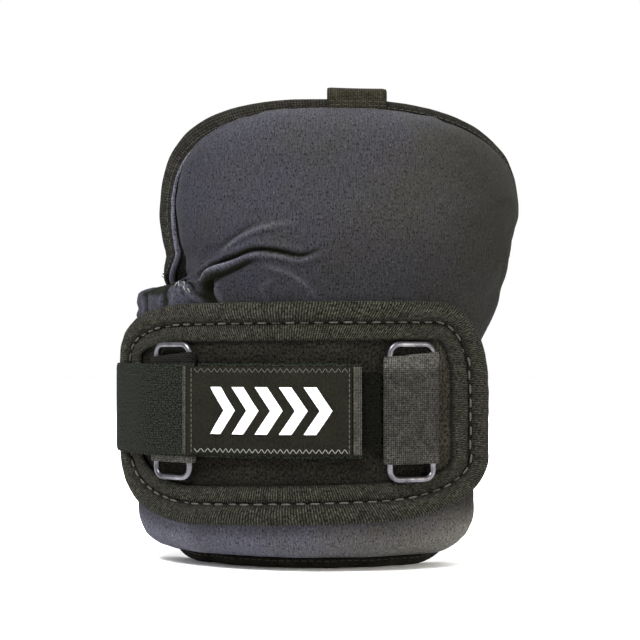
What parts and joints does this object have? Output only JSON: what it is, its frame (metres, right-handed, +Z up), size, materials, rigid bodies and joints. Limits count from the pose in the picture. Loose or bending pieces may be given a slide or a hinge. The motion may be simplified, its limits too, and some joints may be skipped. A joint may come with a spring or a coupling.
{
  "type": "bicep pad",
  "caption": "Upper-arm guard: padded cloth shell on a bound liner curled to the arm, strap panel with wire loops, elastic arm strap and touch-fastened tab, webbing loop on top.",
  "frame": {"origin": "on the lower edge that it stands on, at the front line of the curl, in the middle of the backing's thickness", "axes": "+Z up along the arm, -Y out of the pad's front, +X to the right of someone who looks at the front"},
  "size_m": [0.1779, 0.1701, 0.2001],
  "materials": {
    "cover_cloth": "heathered charcoal woven cloth",
    "liner_cloth": "black knit liner",
    "dark_tape": "ribbed dark olive binding tape",
    "panel_cloth": "dark brown-grey packcloth",
    "grey_webbing": "grey plain-weave webbing",
    "elastic": "black ribbed elastic",
    "pile": "near-black loop pile",
    "wire": "dull bent wire with bright edges",
    "label_weave": "dark woven label"
  },
  "bodies": {
    "root": {"backing": "liner_cloth", "edge_binding": "dark_tape", "pad_body": "cover_cloth", "hanging_loop": "dark_tape", "strap_panel": "panel_cloth", "panel_binding": "dark_tape", "ring_left": "wire", "ring_right": "wire", "ring_band_left": "grey_webbing", "ring_band_right": "grey_webbing", "loop_patch": "pile", "hook_tab": "elastic", "tab_label": "label_weave", "arm_strap": "elastic"}
  },
  "joints": []
}
